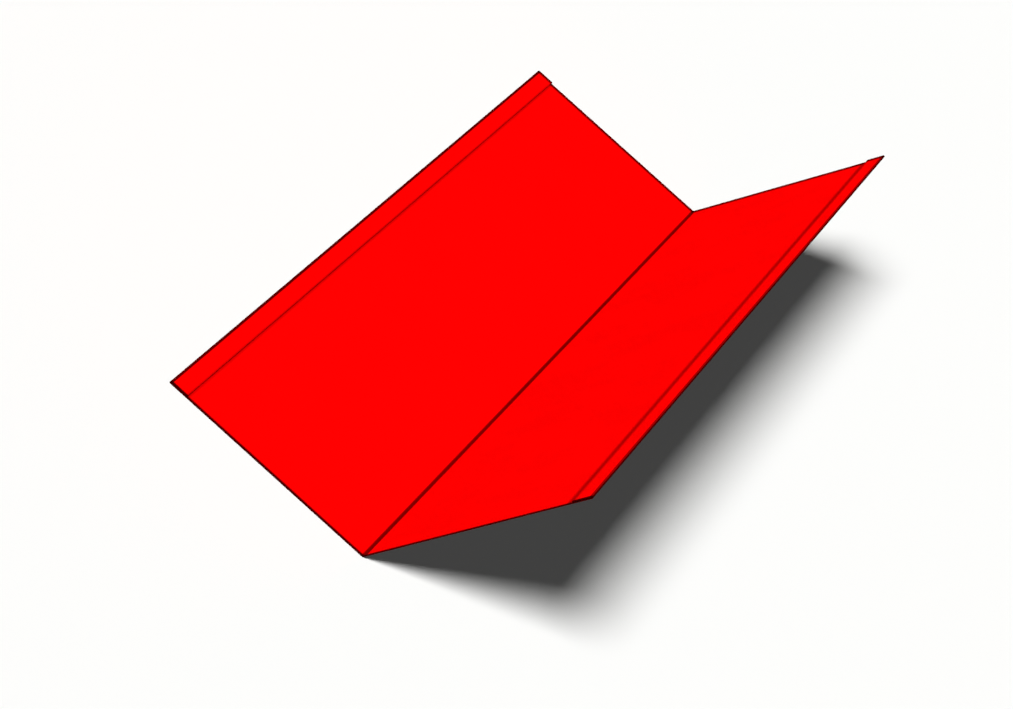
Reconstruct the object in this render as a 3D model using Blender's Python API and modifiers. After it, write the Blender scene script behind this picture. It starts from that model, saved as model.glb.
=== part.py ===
"""Roof valley flashing: one strip of painted steel sheet, folded along its middle into a V, with each long edge
folded back over the water face as an open hem.

Metres, +Z up. A V can't stand on its fold, so the flashing lies as it would unheld on a level floor: one wing
flat, the other rising from the fold. +Y runs along the fold, and the origin is on the floor under the middle.
"""

import math

import bmesh
import bpy
import numpy as np

# Driving dimensions.
LENGTH = 1.000  # along the fold
WING_WIDTH = 0.230  # from the fold's outer corner to the outside of the hem's bend
ROOF_PITCH = math.radians(30.0)  # slope of each roof, and so of each wing when the V stands open upwards
SHEET = 0.0006  # thickness of the coated sheet
FOLD_INSIDE_RADIUS = 0.0012  # of the press-brake fold between the wings
HEM_WIDTH = 0.020  # from the outside of the hem's bend to its free edge
HEM_GAP = 0.0012  # clear height under the hem, where a fixing cleat hooks in

# How finely the bends are faceted.
HEM_BEND_FACETS = 24
HALF_FOLD_FACETS = 6

# The paint, which is the same on both faces.
PAINT_RED = (0.95, 0.004, 0.003, 1.0)
PAINT_ROUGHNESS = 0.7
PAINT_METALLIC = 0.0


def clear_scene():
    for obj in list(bpy.data.objects):
        bpy.data.objects.remove(obj, do_unlink=True)


def arc(centre, radius, start, sweep, facets):
    """Points round part of a circle as rows of (x, z), both ends included."""
    angles = start + sweep * np.arange(facets + 1) / facets
    return centre + radius * np.stack([np.cos(angles), np.sin(angles)], axis=1)


def turned(points, angle):
    """Points turned about the origin, from +X towards +Z."""
    cos, sin = math.cos(angle), math.sin(angle)
    return points @ np.array([[cos, sin], [-sin, cos]])


def hemmed_edge():
    """The sheet's outer face round one hem, as if its wing lay flat along +X: up round the bend from the wing's
    underside, then back over the wing to the free edge."""
    radius = HEM_GAP / 2 + SHEET
    bend = arc([WING_WIDTH - radius, radius], radius, -math.pi / 2, math.pi, HEM_BEND_FACETS)
    free_edge = [[WING_WIDTH - HEM_WIDTH, 2 * radius]]
    return np.concatenate([bend, free_edge])


def section():
    """The sheet's outer face from hem to hem as (x, z): a V open upwards, with the corner where the planes of the
    two undersides meet at the origin."""
    radius = FOLD_INSIDE_RADIUS + SHEET
    fold_centre = [0, radius / math.cos(ROOF_PITCH)]
    half_fold = arc(fold_centre, radius, -math.pi / 2, ROOF_PITCH, HALF_FOLD_FACETS)
    right_half = np.concatenate([half_fold, turned(hemmed_edge(), ROOF_PITCH)])
    left_half = right_half[:0:-1] * [-1, 1]
    return np.concatenate([left_half, right_half])


def outer_face(outline):
    """An open surface: the outline drawn at the near end and carried along +Y to the far end."""
    bm = bmesh.new()
    near = [bm.verts.new((x, -LENGTH / 2, z)) for x, z in outline]
    edges = [bm.edges.new(pair) for pair in zip(near, near[1:])]
    carried = bmesh.ops.extrude_edge_only(bm, edges=edges)
    far = [element for element in carried["geom"] if isinstance(element, bmesh.types.BMVert)]
    bmesh.ops.translate(bm, verts=far, vec=(0, LENGTH, 0))
    for face in bm.faces:
        face.smooth = True
    for edge in bm.edges:
        edge.smooth = not edge.is_boundary
    mesh = bpy.data.meshes.new("valley_flashing")
    bm.to_mesh(mesh)
    bm.free()
    return mesh


def paint():
    material = bpy.data.materials.new("red_paint")
    material.use_nodes = True
    shader = material.node_tree.nodes["Principled BSDF"]
    shader.inputs["Base Color"].default_value = PAINT_RED
    shader.inputs["Roughness"].default_value = PAINT_ROUGHNESS
    shader.inputs["Metallic"].default_value = PAINT_METALLIC
    return material


def lay_on_wing(sheet, outline):
    """Turns the V until its left wing is flat on the floor, with the middle of its width over the origin."""
    across, up = turned(outline, ROOF_PITCH).T
    sheet.rotation_euler.y = -ROOF_PITCH
    sheet.location = (-(across.min() + across.max()) / 2, 0, -up.min())


def valley_flashing():
    """The folded sheet as one object: its outer face, thickened inwards to the sheet's own thickness."""
    outline = section()
    mesh = outer_face(outline)
    mesh.materials.append(paint())
    sheet = bpy.data.objects.new("valley_flashing", mesh)
    thickness = sheet.modifiers.new("thickness", "SOLIDIFY")
    thickness.thickness = SHEET
    thickness.offset = -1
    thickness.use_even_offset = True
    lay_on_wing(sheet, outline)
    return sheet


def main():
    clear_scene()
    parts = bpy.data.collections.new("Valley flashing")
    bpy.context.scene.collection.children.link(parts)
    parts.objects.link(valley_flashing())


main()
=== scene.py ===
import math

import bpy
import numpy as np
from mathutils import Matrix, Vector


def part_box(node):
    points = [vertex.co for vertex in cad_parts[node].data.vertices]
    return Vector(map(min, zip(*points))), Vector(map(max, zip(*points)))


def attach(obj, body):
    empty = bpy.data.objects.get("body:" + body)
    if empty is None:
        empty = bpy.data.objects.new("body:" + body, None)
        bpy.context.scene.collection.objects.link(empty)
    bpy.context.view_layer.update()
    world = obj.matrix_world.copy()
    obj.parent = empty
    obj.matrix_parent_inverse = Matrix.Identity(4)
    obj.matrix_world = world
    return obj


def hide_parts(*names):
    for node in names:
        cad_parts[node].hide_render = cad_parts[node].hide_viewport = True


# A length of red valley flashing, lying unheld on one wing. Metres: +Y runs along the fold and +Z is up.
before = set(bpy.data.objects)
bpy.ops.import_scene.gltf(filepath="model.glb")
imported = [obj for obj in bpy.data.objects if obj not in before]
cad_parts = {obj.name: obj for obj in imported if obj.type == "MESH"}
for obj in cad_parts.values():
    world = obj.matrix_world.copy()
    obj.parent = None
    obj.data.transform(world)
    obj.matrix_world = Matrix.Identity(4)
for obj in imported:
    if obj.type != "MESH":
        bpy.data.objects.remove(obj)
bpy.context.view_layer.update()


class Wire:
    # A node's output socket that takes part in sums: each operator adds one Math node and gives its output.
    def __init__(self, socket):
        self.socket = socket

    def maths(self, operation, *values):
        nodes = Nodes(self.socket.id_data)
        return nodes.add("ShaderNodeMath", {"operation": operation}, dict(enumerate(values)))

    def __add__(self, other):
        return self.maths("ADD", self, other)

    def __sub__(self, other):
        return self.maths("SUBTRACT", self, other)

    def __rsub__(self, other):
        return self.maths("SUBTRACT", other, self)

    def __mul__(self, other):
        return self.maths("MULTIPLY", self, other)

    def __truediv__(self, other):
        return self.maths("DIVIDE", self, other)

    def __rtruediv__(self, other):
        return self.maths("DIVIDE", other, self)

    def __abs__(self):
        return self.maths("ABSOLUTE", self)

    def atLeast(self, other):
        return self.maths("MAXIMUM", self, other)

    __radd__ = __add__
    __rmul__ = __mul__


class Nodes:
    # A node tree with one way to add to it: the node's type, its settings, then its sockets' values or wires.
    def __init__(self, tree):
        self.tree = tree

    def add(self, kind, settings=None, sockets=None, output=0):
        node = self.tree.nodes.new(kind)
        for name, value in (settings or {}).items():
            setattr(node, name, value)
        for name, value in (sockets or {}).items():
            if isinstance(value, Wire):
                self.tree.links.new(value.socket, node.inputs[name])
            else:
                node.inputs[name].default_value = value
        return Wire(node.outputs[output]) if node.outputs else node

    def fade(self, value, start, stop):
        # 0 before start and 1 after stop, with a smooth step between; the other way round if stop is lower.
        low, high = min(start, stop), max(start, stop)
        ends = {"To Min": float(stop < start), "To Max": float(stop > start)}
        return self.add("ShaderNodeMapRange", {"interpolation_type": "SMOOTHSTEP"},
                        {"Value": value, "From Min": low, "From Max": high, **ends})

    def mix(self, share, first, second):
        # A colour: the first where the share is 0 and the second where it is 1.
        return self.add("ShaderNodeMix", {"data_type": "RGBA"},
                        {"Factor": share, "A": first, "B": second}, "Result")

    def noise(self, place, size, detail):
        # Soft cloudy noise between about 0.3 and 0.7, with lumps of the given size.
        return self.add("ShaderNodeTexNoise", {"noise_dimensions": "3D"},
                        {"Vector": place, "Scale": 1 / size, "Detail": detail, "Roughness": 0.5})


def freshTree(block):
    # The node tree of a material, a lamp or a world, emptied.
    block.use_nodes = True
    block.node_tree.nodes.clear()
    return Nodes(block.node_tree)


boxLow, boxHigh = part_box("valley_flashing")
sheet = {
    "thickness": 0.0006,
    "foldInside": 0.0012,  # inside radius of the fold between the wings
    "wingAngle": math.radians(60),  # the raised wing above the floor
    "hemWidth": 0.020,  # from the outside of the hem's bend to its free edge
    "hemGap": 0.0012,  # clear height under the hem
    "shearRound": 0.0001,  # radius left on the cut edges by the shear
    "shearSteps": 3,
    "bendStep": math.radians(5),  # turn between two rows of points round a bend
    "flatStep": 0.012,  # distance between two rows of points on the flats
    "collar": 0.0008,  # row of points this far from each bend and end, so that the flats shade flat
    "alongStep": 0.025,
}


def foldMoves(sheet):
    # The outer face walked from the flat wing's free edge to the raised wing's, as runs and bends to the
    # left: (length, turn). The box's height gives the wing's width, as its top is the raised hem's bend.
    hemRadius = sheet["hemGap"] / 2 + sheet["thickness"]
    foldRadius = sheet["foldInside"] + sheet["thickness"]
    angle = sheet["wingAngle"]
    bendCentre = boxHigh.z - boxLow.z - hemRadius
    wingWidth = hemRadius + (bendCentre - hemRadius * math.cos(angle)) / math.sin(angle)
    flange = (sheet["hemWidth"] - hemRadius, 0)
    hem = (math.pi * hemRadius, math.pi)
    wing = (wingWidth - hemRadius - foldRadius * math.tan(angle / 2), 0)
    fold = (foldRadius * angle, angle)
    moves = np.array([flange, hem, wing, fold, wing, hem, flange])
    start = np.array([boxLow.x + sheet["hemWidth"], boxLow.z + 2 * hemRadius])
    return moves, start


moves, stripStart = foldMoves(sheet)
moveEnds = np.concatenate([[0], np.cumsum(moves[:, 0])])
flangeWidth, hemBendLength = moves[:2, 0]
stripWidth = moveEnds[-1]
stripLength = boxHigh.y - boxLow.y


def stepAlong(distance, turn, heading):
    # A step whose heading turns evenly: its chord is the distance times sinc of half the turn, and points
    # along the mean heading.
    chord = distance * np.sinc(turn / 2 / np.pi)
    mean = heading + turn / 2
    return np.stack([chord * np.cos(mean), chord * np.sin(mean)], axis=-1)


def bent(across, up):
    # Where a point of the flat blank lands when the strip is folded: the walk's place at that distance across
    # plus its height above the outer face along the walk's left-hand normal. Gives x and z.
    headings = np.pi + np.concatenate([[0], np.cumsum(moves[:, 1])])
    steps = np.cumsum(stepAlong(*moves.T, headings[:-1]), axis=0)
    corners = stripStart + np.concatenate([[[0, 0]], steps])
    move = np.clip(np.searchsorted(moveEnds, across, side="right") - 1, 0, len(moves) - 1)
    done = across - moveEnds[move]
    turned = done / moves[move, 0] * moves[move, 1]
    heading = headings[move] + turned
    normal = np.stack([-np.sin(heading), np.cos(heading)], axis=-1)
    return corners[move] + stepAlong(done, turned, headings[move]) + up[..., None] * normal


def rowsAcross(sheet):
    # Distances across the blank: close round the bends, wide on the flats, with a collar beside each bend.
    rows = []
    for (length, turn), start in zip(moves, moveEnds):
        if turn:
            rows.append(start + np.linspace(0, length, round(turn / sheet["bendStep"]) + 1))
        else:
            steps = math.ceil(length / sheet["flatStep"])
            rows.append(start + np.linspace(sheet["collar"], length - sheet["collar"], steps + 1))
    return np.concatenate(rows)


def blankSection(sheet):
    # The blank's lower face with half of each rim, as distances across and heights: a quarter round at each
    # free edge with the rows between. The upper face is the same seen from above.
    radius = sheet["shearRound"]
    angles = np.linspace(0, np.pi / 2, sheet["shearSteps"] + 1)
    edge = np.stack([radius * (1 - np.cos(angles)), radius * (1 - np.sin(angles))], axis=1)
    rows = rowsAcross(sheet)
    middle = np.stack([rows, np.zeros(len(rows))], axis=1)
    return np.concatenate([edge, middle, edge[::-1] * [-1, 1] + [stripWidth, 0]])


def blankGrid(sheet):
    # Every point of the flat blank as (across, along, up), one closed loop of points for each place along it.
    # At each end the loop shrinks round a quarter circle, which rounds the cut end.
    lower = blankSection(sheet)
    upper = lower[::-1] * [1, -1] + [0, sheet["thickness"]]
    loop = np.concatenate([lower, upper]).T[:, None, :]
    radius, collar = sheet["shearRound"], sheet["collar"]
    angles = np.linspace(0, np.pi / 2, sheet["shearSteps"] + 1)
    inset = radius * (1 - np.sin(angles))
    place = radius * (1 - np.cos(angles))
    between = np.linspace(collar, stripLength - collar, round(stripLength / sheet["alongStep"]))
    along = np.concatenate([place, between, stripLength - place[::-1]])
    shrink = np.concatenate([inset, 0 * between, inset[::-1]])[:, None]
    middle = np.array([stripWidth, sheet["thickness"]])[:, None, None] / 2
    across, up = middle + (loop - middle) * (1 - shrink / middle)
    return np.stack([across, np.broadcast_to(along[:, None], across.shape), up], axis=-1)


def gridFaces(rings, points):
    # Quads between neighbouring loops, closed round each loop, and across the first and last loops as caps.
    ring = np.arange(rings - 1)[:, None] * points
    nextRing = ring + points
    this = np.arange(points)[None, :]
    following = (this + 1) % points
    sides = np.stack([ring + this, ring + following, nextRing + following, nextRing + this], axis=-1)
    lower = np.arange(points // 2 - 1)
    upper = points - 1 - lower
    cap = np.stack([lower, upper, upper - 1, lower + 1], axis=-1)
    return np.concatenate([sides.reshape(-1, 4)[:, ::-1], cap[:, ::-1], cap + (rings - 1) * points])


def meshFromGrid(name, blank, places):
    # The grid's points where folding takes them, each with its place on the flat blank for the coat to read.
    mesh = bpy.data.meshes.new(name)
    mesh.from_pydata(places.reshape(-1, 3), [], gridFaces(*blank.shape[:2]))
    onBlank = mesh.attributes.new("blank", "FLOAT_VECTOR", "POINT")
    onBlank.data.foreach_set("vector", blank.astype("f").ravel())
    mesh.shade_smooth()
    mesh.update()
    return mesh


def foldedSheet(sheet):
    # The blank bent across its width and laid along +Y from the box's near end.
    blank = blankGrid(sheet)
    x, z = np.moveaxis(bent(blank[..., 0], blank[..., 2]), -1, 0)
    places = np.stack([x, boxLow.y + blank[..., 1], z], axis=-1)
    piece = bpy.data.objects.new("folded_sheet", meshFromGrid("folded_sheet", blank, places))
    bpy.context.scene.collection.objects.link(piece)
    return piece


foldedPiece = foldedSheet(sheet)
print("folded sheet made,", len(foldedPiece.data.polygons), "faces")

coat = {
    "red": (0.97, 0.0006, 0.0005, 1),
    "deepRed": (0.93, 0.0005, 0.0005, 1),  # the patches where the coat lies a little thicker
    "shadeAndBandRed": (0.02, 0.0, 0.0, 1),  # near black of the dark lines: painted shade along the fold and at the hems' free edges, and dark bands round the hems' bends and in from the cut ends
    "patchSize": 0.09,
    "patchDetail": 3,
    "patchFade": (0.35, 0.65),  # of the noise
    "roughness": (0.62, 0.72),  # from the thin coat to the thick
    "edgeRoughness": 0.85,
    "specular": 0.0,  # the coat is dead matt
    "peelSize": 0.0016,  # orange peel left by the roller coating
    "peelDetail": 1,
    "peelHeight": 0.000012,
    # Painted shade along the fold and at the hems' free edges: widths, how dark from 0 to 1, and how softly
    # each line fades.
    "foldShade": {"onFlat": 0.0019, "onRaised": 0.0038, "dark": 0.81, "soft": 0.0007},
    "flatEdgeShade": {"onFlange": 0.0012, "onWing": 0.0024, "dark": 0.27, "soft": 0.0012},
    "raisedEdgeShade": {"onFlange": 0.0025, "onWing": 0.0061, "dark": 0.58, "soft": 0.0023},
    # Round the hems' bends: from and to, in degrees from the flange, and how dark.
    "flatBend": [(-80, 100, 0.91)],
    "raisedBend": [(-76, 29, 0.70), (30, 152, 0.95)],
    "bendSoft": 0.0004,
    "nearEnd": {"onFlat": 0.0036, "onRaised": 0.0036, "flangeShare": 0.60, "dark": 0.965, "softShare": 0.4},
    "farEnd": {"onFlat": 0.0058, "onRaised": 0.0092, "flangeShare": 1.0, "dark": 0.88, "softShare": 0.4},
}


def hemPlace(turn):
    # Distance in from the free edge of a place round the hem's bend, given in degrees from the flange.
    return flangeWidth + hemBendLength * turn / 180


def shadeAndDarkBands(nodes, coat, across, along, up):
    # The share of the red that the painted shade and the dark bands take, from 0 to 1: 1 less the product of
    # what each line leaves, so that they are darkest where they cross.
    fold = stripWidth / 2
    foldShade, bendSoft = coat["foldShade"], coat["bendSoft"]
    inFromEdge = fold - abs(across - fold)
    underEdge = 2 * flangeWidth + hemBendLength  # the wing's place under its flange's free edge
    pastBend = nodes.fade(inFromEdge, hemPlace(90) - bendSoft, hemPlace(90) + bendSoft)
    raisedSide = nodes.fade(across, fold - bendSoft, fold + bendSoft)
    waterFace = nodes.fade(up, 0, sheet["thickness"])

    def band(place, start, stop, dark, soft):
        # A line from start to stop, which fades over as far as soft on either side of both.
        middle, half = (start + stop) / 2, (stop - start) / 2
        return nodes.fade(abs(place - middle), half + soft, half - soft) * dark

    def hemShadeAndBendBands(side, edge, bend):
        # Painted shade at the flange's free edge, half on the flange and half on the wing beside it,
        # and the bend's own dark bands.
        reach, dark, soft = edge["onWing"], edge["dark"], edge["soft"]
        onFlange = band(inFromEdge, -edge["onFlange"], edge["onFlange"], dark, soft)
        onWing = band(inFromEdge, underEdge - reach, underEdge + reach, dark, soft) * waterFace
        turns = [band(inFromEdge, hemPlace(start), hemPlace(stop), share, bendSoft)
                 for start, stop, share in bend]
        return [line * side for line in [onFlange, onWing, *turns]]

    def endLine(distance, end):
        # A band in from a cut end, as wide as its side says, or the given share of that on the flanges.
        width = end["onFlat"] + (end["onRaised"] - end["onFlat"]) * raisedSide
        width = width * (end["flangeShare"] + (1 - end["flangeShare"]) * pastBend)
        return nodes.fade(distance / width, 1 + end["softShare"], 1 - end["softShare"]) * end["dark"]

    lines = [
        # painted shade along the fold, on both faces
        band(across, fold - foldShade["onFlat"], fold + foldShade["onRaised"],
             foldShade["dark"], foldShade["soft"]),
        # painted shade at the hems' free edges, with dark bands round their bends
        *hemShadeAndBendBands(1 - raisedSide, coat["flatEdgeShade"], coat["flatBend"]),
        *hemShadeAndBendBands(raisedSide, coat["raisedEdgeShade"], coat["raisedBend"]),
        endLine(along, coat["nearEnd"]),
        endLine(stripLength - along, coat["farEnd"]),
    ]
    return 1 - math.prod(1 - line for line in lines)


def redCoat(coat):
    # A matt red, mixed towards a deeper red in slow patches and towards near black by the painted shade and
    # dark bands. Both set the roughness too, and a fine noise gives the orange peel.
    material = bpy.data.materials.new("red_coil_coat")
    nodes = freshTree(material)
    blank = nodes.add("ShaderNodeAttribute", {"attribute_name": "blank"}, output="Vector")
    across, along, up = (nodes.add("ShaderNodeSeparateXYZ", {}, {0: blank}, axis) for axis in "XYZ")
    lines = shadeAndDarkBands(nodes, coat, across, along, up)
    patches = nodes.fade(nodes.noise(blank, coat["patchSize"], coat["patchDetail"]), *coat["patchFade"])
    colour = nodes.mix(lines, nodes.mix(patches, coat["red"], coat["deepRed"]), coat["shadeAndBandRed"])
    thin, thick = coat["roughness"]
    between = thin + (thick - thin) * patches
    peel = nodes.noise(blank, coat["peelSize"], coat["peelDetail"])
    bump = nodes.add("ShaderNodeBump", {}, {"Height": peel, "Strength": 1.0, "Distance": coat["peelHeight"]})
    paint = nodes.add("ShaderNodeBsdfPrincipled", {}, {
        "Base Color": colour,
        "Roughness": between + (coat["edgeRoughness"] - between) * lines,
        "Specular IOR Level": coat["specular"],
        "Normal": bump,
    })
    nodes.add("ShaderNodeOutputMaterial", {}, {"Surface": paint})
    return material


foldedPiece.data.materials.append(redCoat(coat))
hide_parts("valley_flashing")
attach(foldedPiece, "root")
print("coat made")

studio = {
    "floorHalf": 80.0,
    "floorDrop": 0.0001,  # keeps the floor just under the flat wing's lower face
    "floorColour": (0.93, 0.93, 0.917, 1),
    "keyPlace": (-1.30, -4.00, 4.05),
    "keyStrength": 9.88,
    "keyRadius": 0.82,  # for the shadow's soft edge
    "keyBounces": 1,  # enough for one wing to light the other, and too few to tint the shadow red
    # Low fills without shadows, which leave the key's shadow a dark even grey: where each shines from, and
    # its strength. The right one is for the raised wing's outer face and the left one for its water face.
    "fills": {"rightFill": ((1, 0, 0.158), 1.1), "leftFill": ((-1, 0, 0.02), 0.11)},
    "skyColour": (1, 1, 0.99, 1),
}

view = {
    "aim": (0.0225, -0.0495, 0.0060),
    "distance": 3.983,
    "azimuth": 1.62,
    "elevation": 28.11,
    "roll": 41.25,
    "lens": 144.8,  # mm on a sensor 36 mm wide
    "sensor": 36.0,
}


def layFloor(studio):
    # One square face, far wider than the view.
    half, drop = studio["floorHalf"], -studio["floorDrop"]
    corners = [(-half, -half, drop), (half, -half, drop), (half, half, drop), (-half, half, drop)]
    mesh = bpy.data.meshes.new("floor")
    mesh.from_pydata(corners, [], [(0, 1, 2, 3)])
    material = bpy.data.materials.new("pale_floor")
    nodes = freshTree(material)
    matt = nodes.add("ShaderNodeBsdfDiffuse", {}, {"Color": studio["floorColour"]})
    nodes.add("ShaderNodeOutputMaterial", {}, {"Surface": matt})
    mesh.materials.append(material)
    floor = bpy.data.objects.new("floor", mesh)
    bpy.context.scene.collection.objects.link(floor)


def hangLamp(lamp, bounces):
    # The lamp's own object. Its light bounces the given number of times.
    lamp.cycles.max_bounces = bounces
    hung = bpy.data.objects.new(lamp.name, lamp)
    bpy.context.scene.collection.objects.link(hung)
    return hung


def hangKey(studio):
    # A round lamp near by, so that its shadow spreads towards the far end. Its light is made to grow with the
    # cube of the distance: two powers undo its fading and one its slant, so each flat face is lit evenly.
    lamp = bpy.data.lights.new("key", "POINT")
    lamp.energy = studio["keyStrength"]
    lamp.shadow_soft_size = studio["keyRadius"]
    nodes = freshTree(lamp)
    unfading = nodes.add("ShaderNodeLightFalloff", {}, {"Strength": 1.0}, "Constant")
    distance = nodes.add("ShaderNodeLightPath", output="Ray Length")
    glow = nodes.add("ShaderNodeEmission", {}, {"Strength": unfading * distance})
    nodes.add("ShaderNodeOutputLight", {}, {"Surface": glow})
    hangLamp(lamp, studio["keyBounces"]).location = studio["keyPlace"]


def hangFill(name, direction, strength):
    # A sun that shines from the given direction and casts no shadow.
    lamp = bpy.data.lights.new(name, "SUN")
    lamp.energy = strength
    lamp.angle = 0
    lamp.use_shadow = False
    hangLamp(lamp, bounces=0).rotation_euler = Vector(direction).to_track_quat("Z", "Y").to_euler()


def lightStudio(studio):
    # A soft key high on the left and near side, low fills on the right and left, and a sky that gives no
    # light and only shows white where it is seen.
    hangKey(studio)
    for name, (direction, strength) in studio["fills"].items():
        hangFill(name, direction, strength)
    world = bpy.data.worlds.new("studio")
    bpy.context.scene.world = world
    nodes = freshTree(world)
    seen, *mirrored = (nodes.add("ShaderNodeLightPath", output=f"Is {ray} Ray")
                       for ray in ("Camera", "Glossy", "Transmission"))
    for ray in mirrored:
        seen = seen.atLeast(ray)
    sky = nodes.add("ShaderNodeBackground", {}, {"Color": studio["skyColour"], "Strength": seen})
    nodes.add("ShaderNodeOutputWorld", {}, {"Surface": sky})


def placeCamera(view):
    # Looks at the aim from the given distance: azimuth and elevation carry it round the aim, and it then
    # rolls about its own line of sight.
    turn, lift, roll = (math.radians(view[name]) for name in ("azimuth", "elevation", "roll"))
    back = Vector((math.sin(turn) * math.cos(lift), -math.cos(turn) * math.cos(lift), math.sin(lift)))
    level = Vector((math.cos(turn), math.sin(turn), 0))
    upright = back.cross(level)
    right = level * math.cos(roll) + upright * math.sin(roll)
    place = Vector(view["aim"]) + back * view["distance"]
    axes = Matrix((right, back.cross(right), back)).transposed()
    lens = bpy.data.cameras.new("camera")
    lens.lens = view["lens"]
    lens.sensor_width = view["sensor"]
    camera = bpy.data.objects.new("camera", lens)
    camera.matrix_world = Matrix.LocRotScale(place, axes, None)
    bpy.context.scene.collection.objects.link(camera)
    bpy.context.scene.camera = camera


layFloor(studio)
lightStudio(studio)
placeCamera(view)
bpy.context.scene.view_settings.view_transform = "Standard"
print("studio set")
